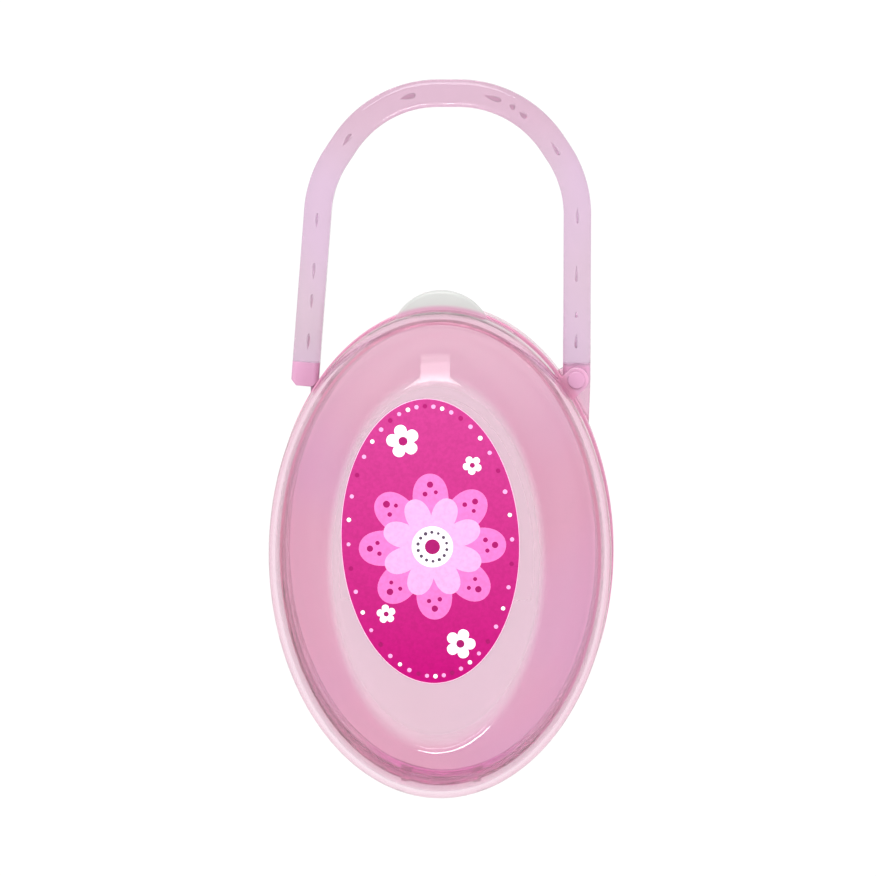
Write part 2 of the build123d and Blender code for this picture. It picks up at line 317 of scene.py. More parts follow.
def clearPolypropylene(look):
    # clarified polypropylene, injection moulded: nearly clear, glossy, a breath of pink where seen edge on
    material, tree, spot, axes = startPlastic("clarifiedPolypropylene")
    ripple = noise(tree, spot, 90.0, 2.0)
    rough = ranged(tree, noise(tree, spot, 900.0, 4.0), 0.3, 0.8, 0.02, 0.045)
    tint = mixed(tree, ripple, *look.tints)
    # the flat oval face and the tab's grip are spark-eroded in the mould: frosted, they veil what is behind
    middle = vectorMaths(tree, "SUBTRACT", spot, look.veilShift)["Vector"]
    veil = product(
        tree,
        between(tree, axes["Z"], *look.veilHeight),
        between(tree, ovalReach(tree, middle, look.veilHalf), *look.veilEdge),
        between(tree, axes["Y"], -0.040, 0.0, look.veilThin, 1.0),
    )
    reach = ovalReach(tree, spot, rimHalf)
    grip = product(
        tree,
        between(tree, reach, 0.984, 0.988),
        between(tree, axes["Z"], *look.gripHeight),
        between(tree, axes["Y"], look.gripStart, look.gripStart + 0.001),
    )
    gripTint = mixed(tree, between(tree, reach, 0.998, 1.016), *look.grip)
    frosted = maths(tree, "MAXIMUM", veil, grip)
    # the skirt shows a breath more colour, where it is seen edge on
    skirt = product(tree, between(tree, axes["Z"], *look.skirtHeight), between(tree, reach, 0.945, 0.975))
    tint = mixed(tree, skirt, tint, look.skirt)
    tint = mixed(tree, veil, tint, look.veil)
    clear = mixed(tree, veil, 1.0, look.veilClear)
    colour = mixed(tree, grip, tint, gripTint)
    rough = mixed(tree, frosted, rough, look.frostRough)
    normal = surfaceNormal(tree, ripple, 0.3, 0.00015)
    clear = mixed(tree, grip, clear, look.gripClear)
    finishSurface(tree, colour, rough, normal, look.ior, {"Transmission Weight": clear}, look.depth)
    return material


pinkLook = SimpleNamespace(
    tints=("F4B9D2", "F1B1CD"),
    drift="EEB4DA",
    driftMost=0.75,
    hingeEndShade="F27ACB",  # painted shade: deeper, darker magenta low on the wall at the hinge end, where the steep wall is seen edge on
    handleEnd="FCCFE2",
    # painted light: the top of the wall, away from the hinge end, and the tongue are lighter and fully
    # clear, to lift the shade they lie in under the lid
    lip="FBDDEA",
    tongueFoot=(0.0241, 0.0243),
    ledge="ECC4D8",  # the ear behind the handle and its gusset
    ledgeHalf=(0.0347, 0.0499),
    bead="EEA6C8",
    beadHeight=(0.0215, 0.0219),
    beadTop=(0.0243, 0.0241),
    beadClear=0.35,
    ear="E4ABCC",  # in front of the handle's knuckle
    earHalf=(0.0353, 0.0502),
    earHeight=(0.0212, 0.0218),
    earClear=0.2,
    clear=0.88,
    depth=("EE5FA4", 12.0),
    ior=1.49,
)


def pinkPolypropylene(look):
    # pink tinted polypropylene: light from behind comes through, deeper where the wall is seen edge on
    material, tree, spot, axes = startPlastic("pinkPolypropylene")
    cloud = noise(tree, spot, 55.0, 3.0)
    rough = ranged(tree, noise(tree, spot, 700.0, 4.0), 0.3, 0.8, 0.10, 0.16)
    # painted shade: mask of the lower wall at the hinge end, drawn darker as it looks when seen edge on
    hinge = product(tree, between(tree, axes["Z"], 0.0125, 0.0160), between(tree, axes["Y"], -0.040, -0.047))
    # painted light: mask of the top of the wall and the tongue, which are drawn lighter and fully clear
    # against their shade
    lip = product(tree, between(tree, axes["Z"], 0.0218, 0.0226), between(tree, axes["Y"], -0.044, -0.034))
    lip = maths(tree, "MAXIMUM", lip, between(tree, axes["Z"], *look.tongueFoot))
    ledge = product(
        tree,
        between(tree, ovalReach(tree, spot, look.ledgeHalf), 1.0, 1.03),
        between(tree, axes["Z"], 0.0180, 0.0178),
    )
    bead = product(
        tree,
        between(tree, ovalReach(tree, spot, rimHalf), 0.976, 0.985),
        between(tree, axes["Z"], *look.beadHeight),
        between(tree, axes["Z"], *look.beadTop),
    )
    ear = product(
        tree,
        between(tree, ovalReach(tree, spot, look.earHalf), 1.0, 1.02),
        between(tree, axes["Z"], *look.earHeight),
    )
    tint = mixed(tree, cloud, *look.tints)
    for share, code in (
        (between(tree, noise(tree, spot, 26.0, 1.0), 0.40, 0.68, 0.0, look.driftMost), look.drift),
        (hinge, look.hingeEndShade),
        (between(tree, axes["Y"], 0.012, 0.046), look.handleEnd),
        (lip, look.lip),
        (ledge, look.ledge),
        (bead, look.bead),
        (ear, look.ear),
    ):
        tint = mixed(tree, share, tint, code)
    clear = mixed(tree, bead, mixed(tree, lip, look.clear, 1.0), look.beadClear)
    clear = mixed(tree, ear, clear, look.earClear)
    normal = surfaceNormal(tree, cloud, 0.4, 0.0006)
    finishSurface(tree, tint, rough, normal, look.ior, {"Transmission Weight": clear}, look.depth)
    return material


barLook = SimpleNamespace(
    tints=("DECBD7", "DAC2D1"),
    drift="DDC5DA",
    crown="D7B6C8",
    crownHeight=(0.074, 0.092),  # along Y
    crownMost=0.8,
    bond="E2ABCC",
    bondHeight=(0.0386, 0.0375),
    clear=0.82,
    bondClear=0.25,
    depth=("EBC0DA", 40.0),
    ior=1.45,
)


def softElastomer(look):
    # soft translucent elastomer of the carrying bar: pale, a little hazy, with slow colour drift along it
    material, tree, spot, axes = startPlastic("softElastomer")
    cloud = noise(tree, spot, 60.0, 2.0)
    rough = ranged(tree, noise(tree, spot, 1200.0, 3.0), 0.3, 0.8, 0.08, 0.14)
    tint = mixed(tree, cloud, *look.tints)
    bond = between(tree, axes["Y"], *look.bondHeight)
    for share, code in (
        (between(tree, noise(tree, spot, 38.0, 1.0), 0.42, 0.62), look.drift),
        (between(tree, axes["Y"], *look.crownHeight, 0.0, look.crownMost), look.crown),
        (bond, look.bond),
    ):
        tint = mixed(tree, share, tint, code)
    clear = mixed(tree, bond, look.clear, look.bondClear)
    normal = surfaceNormal(tree, cloud, 0.5, 0.0005)
    finishSurface(tree, tint, rough, normal, look.ior, {"Transmission Weight": clear}, look.depth)
    return material


def cloudyPlastic(name, look):
    # small moulded parts: cloudy and glossy, all of one colour
    material, tree, spot, _ = startPlastic(name)
    cloud = noise(tree, spot, look.cloudScale, 3.0)
    tint = mixed(tree, cloud, *look.tints)
    rough = ranged(tree, cloud, 0.3, 0.8, *look.rough)
    normal = surfaceNormal(tree, cloud, 0.3, 0.0002)
    finishSurface(tree, tint, rough, normal, look.ior, {"Transmission Weight": look.clear}, look.depth)
    return material


# firm pink end pieces, moulded with more pigment than the bar
endLook = SimpleNamespace(
    tints=("E2AACC", "DCA0C4"), cloudScale=240.0, rough=(0.14, 0.24),
    clear=0.2, ior=1.5, depth=("EE9FC8", 40.0),
)
# unpigmented polypropylene of the rack and the hinge pin: milky white, half clear
naturalLook = SimpleNamespace(
    tints=("F8F3F4", "F2ECEE"), cloudScale=160.0, rough=(0.2, 0.3),
    clear=0.7, ior=1.49, depth=None,
)


def printedFilm(name, upper, lower):
    # ink on matt polypropylene film: fine toothed surface, colour a touch uneven; painted light: lighter
    # towards the top of the label and darker towards its foot, as the light falls on it
    material, tree, spot, axes = startPlastic(name)
    tooth = noise(tree, spot, 2600.0, 3.0)  # drawn at about 0.4 mm so that it shows
    # painted light: each colour is drawn from its lit shade at the top of the label to a darker one at its
    # foot
    rise = ranged(tree, axes["Y"], -0.022, 0.034)
    paintedLightRamp = mixed(tree, rise, lower, upper)
    uneven = ranged(tree, noise(tree, spot, 1500.0, 4.0), 0.35, 0.65, 0.93, 1.05)
    ink = addNode(tree, "ShaderNodeHueSaturation", {"Color": paintedLightRamp, "Value": uneven}).outputs["Color"]
    rough = ranged(tree, tooth, 0.3, 0.7, 0.38, 0.52)
    normal = surfaceNormal(tree, tooth, 0.35, 0.00004)
    finishSurface(tree, ink, rough, normal, 1.49, {"Specular IOR Level": 0.08})
    return material


clearPlastic = clearPolypropylene(clearLook)
pinkPlastic = pinkPolypropylene(pinkLook)
barPlastic = softElastomer(barLook)
endPlastic = cloudyPlastic("pinkEndPlastic", endLook)
naturalPlastic = cloudyPlastic("naturalPolypropylene", naturalLook)
# magenta ground, lighter at the top of the label than at its foot: painted light
filmGround = printedFilm("printedFilmMagenta", "B6377F", "A60065")
print("materials ready")


# The two shells: ovals that close in from the rim to a flat oval face

caseForm = SimpleNamespace(
    width=69.4,
    length=99.2,
    rearDepth=24.0,
    lidDepth=22.0,
    wall=1.4,
    facetWidth=40.0,
    facetLength=74.8,
    rearSkirt=11.0,  # straight part of the wall, from the rim
    lidSkirt=7.0,
    rearBelly=19.0,
    lidBelly=16.0,
    lidCreaseRound=6.0,
    backCreaseRound=1.0,
    rimGap=0.2,
    stations=52,
)
facetInset = (caseForm.width - caseForm.facetWidth) / 2
lengthShare = (caseForm.length - caseForm.facetLength) / 2 / facetInset
lidBase = caseForm.rearDepth + caseForm.rimGap


def wallOval(inset, skin=0.0):
    return caseForm.width / 2 - inset - skin, caseForm.length / 2 - inset * lengthShare - skin


def domePoint(step, depth, skirt, belly, skin=0.0):
    # half width, half length and distance from the rim, skin mm under the outer face
    inward = step**2 * facetInset
    upward = (1 - step) ** 2 * skirt + 2 * step * (1 - step) * belly + step**2 * depth
    slopeIn = step * facetInset
    slopeUp = (1 - step) * (belly - skirt) + step * (depth - belly)
    slope = hypot(slopeIn, slopeUp)
    return *wallOval(inward, skin * slopeUp / slope), upward - skin * slopeIn / slope


def domeRings(depth, skirt, belly, skin=0.0, crease=0.0):
    # rim to flat face; a crease round swaps the last bit of the curve for a soft turn
    count = caseForm.stations
    rings = [(*wallOval(0, skin), skirt * i / 4) for i in range(4)]
    rings += [domePoint(i / count, depth, skirt, belly, skin) for i in range(count + 1)]
    if crease == 0:
        return rings
    turn = atan2(depth - belly, facetInset)
    reach = crease * tan(turn / 2)
    corner = rings[-1]
    while hypot(rings[-1][0] - corner[0], rings[-1][2] - corner[2]) < reach:
        rings.pop()
    start = rings[-1]
    finish = (corner[0] - reach, corner[1] - reach * lengthShare, corner[2])
    for i in range(1, 9):
        t = i / 8
        shares = ((1 - t) ** 2, 2 * t * (1 - t), t**2)
        rings.append(tuple(sum(w * v for w, v in zip(shares, row)) for row in zip(start, corner, finish)))
    rings.append((finish[0] - 0.25, finish[1] - 0.25, corner[2]))  # keeps the flat face flat up to its edge
    return rings


# Clear front lid with its thumb tab and hinge lugs

lidForm = SimpleNamespace(
    tabWidth=18.7,
    tabReach=3.9,
    tabThickness=1.8,
    tabRound=0.6,
    skirtEdgeRound=0.15,
    skirtEdgeCut=0.29,  # share of that round which is gone at 45 degrees
    lugWidth=1.8,
    lugBack=0.9,
    lugOverlap=1.2,
)
hingeForm = SimpleNamespace(
    inset=1.1,
    drop=4.2,
    barrelRadius=1.1,
    pinRadius=0.5,
    boreClearance=0.05,
    knuckleWidth=13.4,
    sideClearance=0.3,
)
rimBead = 0.4
beadHalfWidth = caseForm.width / 2 + rimBead
beadHalfLength = caseForm.length / 2 + rimBead
hingeY = hingeForm.inset - caseForm.length / 2
hingeZ = caseForm.rearDepth - hingeForm.drop
lugMiddle = hingeForm.knuckleWidth / 2 + hingeForm.sideClearance + lidForm.lugWidth / 2


def hingeBore(half):
    radius = hingeForm.pinRadius + hingeForm.boreClearance
    return rod("bore", (hingeY, hingeZ, radius), "X", -half, half, 32)


def lidRings(skin=0.0):
    crease = caseForm.lidCreaseRound - skin
    return domeRings(caseForm.lidDepth, caseForm.lidSkirt, caseForm.lidBelly, skin, crease)


def frontLid():
    outer = lidRings()
    wide, long = outer[0][:2]
    edge = lidForm.skirtEdgeRound
    cut = edge * lidForm.skirtEdgeCut
    rings = [
        ovalRing(wide - edge, long - edge, lidBase),
        ovalRing(wide - cut, long - cut, lidBase + cut),
        ovalRing(wide, long, lidBase + edge),
    ]
    rings += [ovalRing(a, b, lidBase + h) for a, b, h in outer[1:]]
    lid = addObject("lid", ringsToMesh("lid", rings))

    rootY = caseForm.length / 2 * sqrt(1 - (lidForm.tabWidth / caseForm.width) ** 2)
    rise = caseForm.length / 2 + lidForm.tabReach - rootY
    radius = ((lidForm.tabWidth / 2) ** 2 + rise**2) / (2 * rise)
    place = (0, rootY + rise - radius, radius)
    tab = rod("tab", place, "Z", lidBase, lidBase + lidForm.tabThickness, 160, lidForm.tabRound)
    lugOutline = hullOutline(circlePoints(hingeY, hingeZ, hingeForm.barrelRadius) + [
        (hingeY + u, lidBase + v)
        for u in (-lidForm.lugBack, hingeForm.barrelRadius)
        for v in (0, lidForm.lugOverlap)
    ])
    lugs = []
    for side in (-1, 1):
        low = side * lugMiddle - lidForm.lugWidth / 2
        lugs.append(prism("lug", lugOutline, "X", low, low + lidForm.lugWidth))
    carve(lid, joinMeshes("additions", [tab, *lugs]), "UNION")

    inner = lidRings(caseForm.wall)
    cavity = [ovalRing(*inner[0][:2], lidBase - 1.0)]
    cavity += [ovalRing(a, b, lidBase + h) for a, b, h in inner]
    carve(lid, ringsToMesh("cavity", cavity), "DIFFERENCE")
    carve(lid, hingeBore(lugMiddle + 2), "DIFFERENCE")
    finishPiece(lid, "clearLidShell", clearPlastic, "lid", ["front_lid"])


frontLid()


# Pink rear shell: rim bead, tongue, ears for the handle, hinge knuckle, vents and posts

rearForm = SimpleNamespace(
    rimBand=2.0,
    beadRound=0.35,
    beadFoot=0.08,  # small turn where the bead leaves the wall
    beadEdge=0.06,  # blunted lower edge of the bead
    tongueHeight=6.0,
    tongueThickness=1.1,
    tongueDraft=0.35,
    lapClearance=0.2,
    ventCount=3,
    ventRadius=1.0,
    ventPitch=6.0,
    ventHeight=16.0,
    shelf=6.0,
    rackHeight=5.0,
    postRadius=1.7,
    pegRadius=0.7,
    pegTop=7.2,
    postX=6.5,
    postY=15.5,
)
handleForm = SimpleNamespace(
    barWidth=5.6,
    barThickness=4.0,
    barRound=1.1,
    crownReach=43.0,
    crownRiseShare=0.339,  # these three are shares of the handle's width
    crownInsetShare=0.228,
    bendShare=0.436,
    leftLean=3.35,
    pathStep=0.7,  # between points of the swept path
    gap=0.2,
    pivotSetback=14.7,
    pivotStandoff=2.5,
    knuckleNeck=2.0,
    pinRadius=1.2,
    headRadius=1.8,
    headHeight=0.6,
    frontEarRadius=2.5,
    rearEarThickness=1.8,
    gussetDrop=9.0,
    gussetRadius=1.2,
    earRoot=6.5,
    tipSetback=16.5,
    tipStandoff=2.2,
    tipLength=4.9,
    tipChamfer=1.2,
    pegRadius=0.8,
    pegLength=2.8,
    pegOffset=2.0,
    catchClearance=0.2,
    bondGap=0.02,
    pinGap=0.01,
)


def rimReach(y):
    return beadHalfWidth * sqrt(1 - (y / beadHalfLength) ** 2)


barZ = caseForm.rearDepth - rearForm.rimBand - handleForm.gap - handleForm.barThickness / 2
rearEarTop = barZ - handleForm.barThickness / 2 - handleForm.gap
pivotY = beadHalfLength - handleForm.pivotSetback
pivotX = rimReach(pivotY) + handleForm.pivotStandoff
tipY = beadHalfLength - handleForm.tipSetback
tipX = -rimReach(tipY) - handleForm.tipStandoff


def rearRings(skin=0.0, crease=0.0):
    rings = domeRings(caseForm.rearDepth, caseForm.rearSkirt, caseForm.rearBelly, skin, crease)
    return rings[::-1]


def rimRings(rim, band, tongue, top):
    # wall under the bead, bead with its round, and the tongue that leans inward
    wide, long = wallOval(0)
    foot = rearForm.beadFoot
    blunt = rearForm.beadEdge
    soft = rearForm.beadRound
    rings = [
        ovalRing(wide, long, band - foot),
        ovalRing(wide + foot, long + foot, band),
        ovalRing(beadHalfWidth - blunt, beadHalfLength - blunt, band),
        ovalRing(beadHalfWidth, beadHalfLength, band + blunt),
    ]
    for i in range(7):
        a = pi / 2 * i / 6
        inset = soft * (1 - cos(a))
        rings.append(ovalRing(beadHalfWidth - inset, beadHalfLength - inset, rim - soft * (1 - sin(a))))
    rings.append(ovalRing(*tongue, rim))
    for inset, drop in ((0.0, 0.15), (0.05, 0.05), (0.15, 0.0)):
        inset += rearForm.tongueDraft
        rings.append(ovalRing(tongue[0] - inset, tongue[1] - inset, top - drop))
    return rings


def handleEars(rim, band):
    root = handleForm.earRoot
    frontEar = prism("frontEar", hullOutline(
        circlePoints(pivotX, pivotY, handleForm.frontEarRadius)
        + circlePoints(pivotX - root, pivotY - root, handleForm.frontEarRadius)
    ), "Z", band, rim, 0.2)
    gussetY = pivotY - handleForm.gussetDrop
    gussetX = rimReach(gussetY) - handleForm.gussetRadius
    rearEar = prism("rearEar", hullOutline(
        circlePoints(pivotX, pivotY, handleForm.barWidth / 2, 64)
        + circlePoints(gussetX, gussetY, handleForm.gussetRadius)
        + circlePoints(pivotX - root, pivotY - handleForm.gussetRadius, handleForm.gussetRadius)
    ), "Z", rearEarTop - handleForm.rearEarThickness, rearEarTop, 0.25)
    return [frontEar, rearEar]


def hingeRoom(wide, long, rim, band):
    # the bead stops short of the hinge, and the lugs swing in two pockets; cuts run a little past the faces
    clear = hingeForm.sideClearance
    stop = lugMiddle + lidForm.lugWidth / 2 + clear
    across = [stop * (i / 12 - 1) for i in range(25)]
    wallLine = [(x, 0.02 - long * sqrt(1 - (x / wide) ** 2)) for x in across]
    beadStop = prism("stop", [*wallLine, (stop, -long - 2), (-stop, -long - 2)], "Z", band - 0.1, rim + 0.1)
    reach = hingeForm.barrelRadius + clear
    roof = hingeZ + hingeForm.drop
    outline = hullOutline(
        circlePoints(hingeY, hingeZ, reach) + [(hingeY - reach, roof + 0.4), (hingeY + reach, roof + 0.001)]
    )
    half = lidForm.lugWidth / 2 + clear
    middles = (-lugMiddle, lugMiddle)
    return beadStop, [prism("pocket", outline, "X", middle - half, middle + half) for middle in middles]


def rackPosts():
    foot, peg, top = rearForm.postRadius, rearForm.pegRadius, rearForm.rackHeight
    steps = [
        (foot, caseForm.wall / 2), (foot, top), (peg, top),
        (peg, rearForm.pegTop - 0.2), (peg - 0.2, rearForm.pegTop),
    ]
    places = [(x * rearForm.postX, y * rearForm.postY) for x in (-1, 1) for y in (-1, 1)]
    return [ringsToMesh("post", [ovalRing(r, r, z, x, y, 40) for r, z in steps]) for x, y in places]


def rearShell():
    rim = caseForm.rearDepth
    band = rim - rearForm.rimBand
    wide, long = wallOval(0)
    lap = caseForm.wall + rearForm.lapClearance
    tongueTop = rim + rearForm.tongueHeight
    outer = rearRings(crease=caseForm.backCreaseRound)
    rings = [ovalRing(a, b, rim - h) for a, b, h in outer if rim - h < band - 0.05]
    rings += rimRings(rim, band, wallOval(0, lap), tongueTop)
    shell = addObject("rear", ringsToMesh("rear", rings))

    halfKnuckle = hingeForm.knuckleWidth / 2
    knuckle = rod("knuckle", (hingeY, hingeZ, hingeForm.barrelRadius), "X", -halfKnuckle, halfKnuckle)
    carve(shell, joinMeshes("additions", [*handleEars(rim, band), knuckle]), "UNION")

    mouth = wallOval(0, lap + rearForm.tongueThickness)
    shelf = rim - rearForm.shelf
    inner = rearRings(caseForm.wall)
    cavity = [ovalRing(a, b, rim - h) for a, b, h in inner if h > rearForm.shelf + 0.1]
    cavity += [ovalRing(*wallOval(0, caseForm.wall), shelf), ovalRing(*mouth, shelf)]
    cavity.append(ovalRing(*mouth, tongueTop + 1))
    carve(shell, ringsToMesh("cavity", cavity), "DIFFERENCE")

    beadStop, pockets = hingeRoom(wide, long, rim, band)
    carve(shell, beadStop, "DIFFERENCE")
    reliefRadius = handleForm.barWidth / 2 + hingeForm.sideClearance
    relief = rod("relief", (pivotX, pivotY, reliefRadius), "Z", rearEarTop, band, 64)
    catchPlace = (tipX + handleForm.pegOffset, barZ, handleForm.pegRadius + handleForm.catchClearance)
    catchEnd = tipY - handleForm.pegLength - handleForm.catchClearance
    catch = rod("catch", catchPlace, "Y", catchEnd, tipY + handleForm.tipChamfer, 32)
    carve(shell, joinMeshes("cuts", [*pockets, relief, catch]), "DIFFERENCE")
    for i in range(rearForm.ventCount):
        ventX = (i - (rearForm.ventCount - 1) / 2) * rearForm.ventPitch
        ventPlace = (ventX, rearForm.ventHeight, rearForm.ventRadius)
        carve(shell, rod("vent", ventPlace, "Y", mouth[1] - 5, beadHalfLength + 1, 38), "DIFFERENCE")
    carve(shell, hingeBore(halfKnuckle + 0.2), "DIFFERENCE")
    carve(shell, joinMeshes("posts", rackPosts()), "UNION")
    finishPiece(shell, "pinkRearShell", pinkPlastic, "case", ["rear_shell"])


rearShell()


# Carrying bar, swept along its path by Geometry Nodes, with the air voids of its moulding

voidForm = SimpleNamespace(
    width=1.3,  # in the bar's plane at the crown, through its thickness on the legs
    depth=0.8,  # at right angles to the width
    astray=0.25,  # share of the way from the middle of the bar to the place below
    seed=11,
    places=[  # x, y near the middle of the bar, and length of each void, mm
        (-6.9, 92.6, 3.2), (10.2, 92.3, 3.6), (14.4, 90.4, 1.3), (16.0, 88.2, 1.8), (22.9, 81.7, 3.2),
        (-19.4, 83.7, 3.0), (-25.6, 67.2, 3.0), (-26.0, 56.8, 3.4), (-26.4, 50.8, 3.0), (-27.3, 42.4, 3.4),
        (27.4, 68.4, 3.2), (26.8, 56.7, 3.4), (26.9, 48.0, 1.2), (26.9, 42.9, 3.0),
    ],
)
leftTopX = tipX + handleForm.leftLean
handleWidth = pivotX - leftTopX
crownInset = handleWidth * handleForm.crownInsetShare
crownY = beadHalfLength + handleForm.crownReach
shoulderY = crownY - handleWidth * handleForm.crownRiseShare
tipEnd = Vector((tipX, tipY, barZ))
legLine = (Vector((leftTopX, shoulderY, barZ)) - tipEnd).normalized()
leftEnd = tipEnd + legLine * handleForm.tipLength
rightEnd = Vector((pivotX, pivotY + handleForm.knuckleNeck, barZ))
barCorners = [
    rightEnd,
    Vector((pivotX, shoulderY, barZ)),
    Vector((pivotX - crownInset, crownY, barZ)),
    Vector((leftTopX + crownInset, crownY, barZ)),
    Vector((leftTopX, shoulderY, barZ)),
    leftEnd,
]


def straightRun(start, finish, spacing):
    # points between two ends, the ends left out
    steps = ceil((finish - start).length / spacing)
    return [start.lerp(finish, i / steps) for i in range(1, steps)]


def roundedPath(corners, radius, spacing):
    # straight runs joined by arcs, as points at most spacing apart
    path = [corners[0]]
    for before, corner, after in zip(corners, corners[1:], corners[2:]):
        back = (before - corner).normalized()
        ahead = (after - corner).normalized()
        half = back.angle(ahead) / 2
        centre = corner + (back + ahead).normalized() * (radius / sin(half))
        start = corner + back * (radius / tan(half))
        finish = corner + ahead * (radius / tan(half))
        path += straightRun(path[-1], start, spacing)
        sweep = (start - centre).angle(finish - centre)
        steps = ceil(sweep * radius / spacing)
        turn = 1 if (start - centre).cross(finish - centre).z > 0 else -1
        for i in range(steps + 1):
            path.append(centre + Matrix.Rotation(turn * sweep * i / steps, 3, "Z") @ (start - centre))
    return [*path, *straightRun(path[-1], corners[-1], spacing), corners[-1]]


def startTree(name, result, inputs):
    # a geometry tree with named inputs, each a kind of socket and its usual value
    tree = bpy.data.node_groups.new(name, "GeometryNodeTree")
    for label, (kind, value) in inputs.items():
        socket = tree.interface.new_socket(name=label, in_out="INPUT", socket_type="NodeSocket" + kind)
        if value is not None:
            socket.default_value = value
    tree.interface.new_socket(name=result, in_out="OUTPUT", socket_type="NodeSocketGeometry")
    return tree, addNode(tree, "NodeGroupInput").outputs


def realised(tree, geometry):
    return geometryNode(tree, "RealizeInstances", {"Geometry": geometry})


def finishTree(tree, result, geometry, material):
    dressed = geometryNode(tree, "SetMaterial", {"Geometry": geometry, "Material": material})
    addNode(tree, "NodeGroupOutput", {result: dressed})
    return tree


def pointValue(tree, name, kind):
    return geometryNode(tree, "InputNamedAttribute", {"Name": name}, data_type=kind)


def randomValue(tree, low, high, seed):
    links = {"Min": low, "Max": high, "Seed": seed}
    outputs = addNode(tree, "FunctionNodeRandomValue", links, data_type="FLOAT").outputs
    return [o for o in outputs if o.enabled][0]


def pointMesh(name, points, values):
    # bare points that carry a number or a vector each, for the nodes to read
    mesh = bpy.data.meshes.new(name)
    mesh.from_pydata(points, [], [])
    for key, rows in values.items():
        if isinstance(rows[0], float):
            mesh.attributes.new(key, "FLOAT", "POINT").data.foreach_set("value", rows)
        else:
            flat = [c for row in rows for c in row]
            mesh.attributes.new(key, "FLOAT_VECTOR", "POINT").data.foreach_set("vector", flat)
    return mesh


def welded(mesh):
    # an open bmesh of the mesh, its doubled points merged
    work = bmesh.new()
    work.from_mesh(mesh)
    bmesh.ops.remove_doubles(work, verts=work.verts, dist=1e-6)
    return work


def bakeNodes(thing, tree, values):
    # sets the modifier's inputs by socket identifier, bakes the result to a plain mesh
    step = thing.modifiers.new("nodes", "NODES")
    step.node_group = tree
    for item in tree.interface.items_tree:
        if item.item_type == "SOCKET" and item.in_out == "INPUT" and item.name in values:
            step[item.identifier] = values[item.name]
    done = bpy.data.meshes.new_from_object(thing.evaluated_get(bpy.context.evaluated_depsgraph_get()))
    thing.modifiers.remove(step)
    thing.data = done
    return thing


def sweptBarTree():
    tree, start = startTree("sweptBar", "Bar", {
        "Path": ("Geometry", None), "Bar width": ("Float", 0.0056), "Bar thickness": ("Float", 0.004),
        "Corner round": ("Float", 0.0011), "Plastic": ("Material", None),
    })
    path = geometryNode(tree, "MeshToCurve", {"Mesh": start["Path"]})
    upright = geometryNode(tree, "SetCurveNormal", {"Curve": path}, mode="Z_UP")
    size = {"Width": start["Bar width"], "Height": start["Bar thickness"]}
    section = geometryNode(tree, "CurvePrimitiveQuadrilateral", size)
    corners = {"Curve": section, "Count": 6, "Radius": start["Corner round"]}
    soft = geometryNode(tree, "FilletCurve", corners, mode="POLY")
    sweep = {"Curve": upright, "Profile Curve": soft, "Fill Caps": True}
    swept = geometryNode(tree, "CurveToMesh", sweep)
    return finishTree(tree, "Bar", realised(tree, swept), start["Plastic"])


def airVoidTree():
    # one teardrop for each point, laid along the bar, its faces turned to the air inside
    tree, start = startTree("airVoids", "Voids", {
        "Places": ("Geometry", None), "Void width": ("Float", 0.0013), "Void depth": ("Float", 0.0008),
        "Seed": ("Int", 11), "Plastic": ("Material", None),
    })
    ball = geometryNode(tree, "MeshUVSphere", {"Segments": 24, "Rings": 20, "Radius": 0.5})
    axes = separated(tree, geometryNode(tree, "InputPosition"))
    taper = ranged(tree, axes["Z"], -0.5, 0.5, 1.25, 0.35)
    drop = combined(tree, product(tree, axes["X"], taper), product(tree, axes["Y"], taper), axes["Z"])
    shaped = geometryNode(tree, "SetPosition", {"Geometry": ball, "Position": drop})
    flipped = geometryNode(tree, "FlipFaces", {"Mesh": shaped})
    wide = product(tree, start["Void width"], randomValue(tree, 0.75, 1.2, start["Seed"]))
    line = {"Vector": pointValue(tree, "voidLine", "FLOAT_VECTOR")}
    placed = geometryNode(tree, "InstanceOnPoints", {
        "Points": start["Places"], "Instance": flipped,
        "Rotation": nodeValue(tree, "FunctionNodeAlignRotationToVector", line, axis="Z", pivot_axis="AUTO"),
        "Scale": combined(tree, start["Void depth"], wide, pointValue(tree, "voidLength", "FLOAT")),
    })
    return finishTree(tree, "Voids", realised(tree, placed), start["Plastic"])


def carryingBar():
    path = roundedPath(barCorners, handleWidth * handleForm.bendShare, handleForm.pathStep)
    line = bpy.data.meshes.new("barPath")
    line.from_pydata([tuple(p * mm) for p in path], [(i, i + 1) for i in range(len(path) - 1)], [])
    bar = addObject("bar", line)
    bakeNodes(bar, sweptBarTree(), {
        "Bar width": handleForm.barWidth * mm, "Bar thickness": handleForm.barThickness * mm,
        "Corner round": handleForm.barRound * mm, "Plastic": barPlastic,
    })
    work = welded(bar.data)
    bmesh.ops.recalc_face_normals(work, faces=work.faces)
    work.to_mesh(bar.data)
    work.free()

    spots = []
    lines = []
    for x, y, _ in voidForm.places:
        nearest = min(range(1, len(path) - 1), key=lambda i: (path[i].x - x) ** 2 + (path[i].y - y) ** 2)
        lines.append((path[nearest + 1] - path[nearest - 1]).normalized())
        spots.append(tuple(path[nearest].lerp(Vector((x, y, barZ)), voidForm.astray) * mm))
    lengths = [length * mm for _, _, length in voidForm.places]
    voids = addObject("voids", pointMesh("voidPlaces", spots, {"voidLength": lengths, "voidLine": lines}))
    bakeNodes(voids, airVoidTree(), {
        "Void width": voidForm.width * mm, "Void depth": voidForm.depth * mm,
        "Seed": voidForm.seed, "Plastic": barPlastic,
    })
    bar.data = joinMeshes("bar", [bar.data, voids.data])
    bpy.data.objects.remove(voids)
    finishPiece(bar, "softCarryingBar", barPlastic, "handle", ["handle_bar"])


carryingBar()


# Small moulded parts keep their CAD shape, welded; the two ends stop where the bar starts

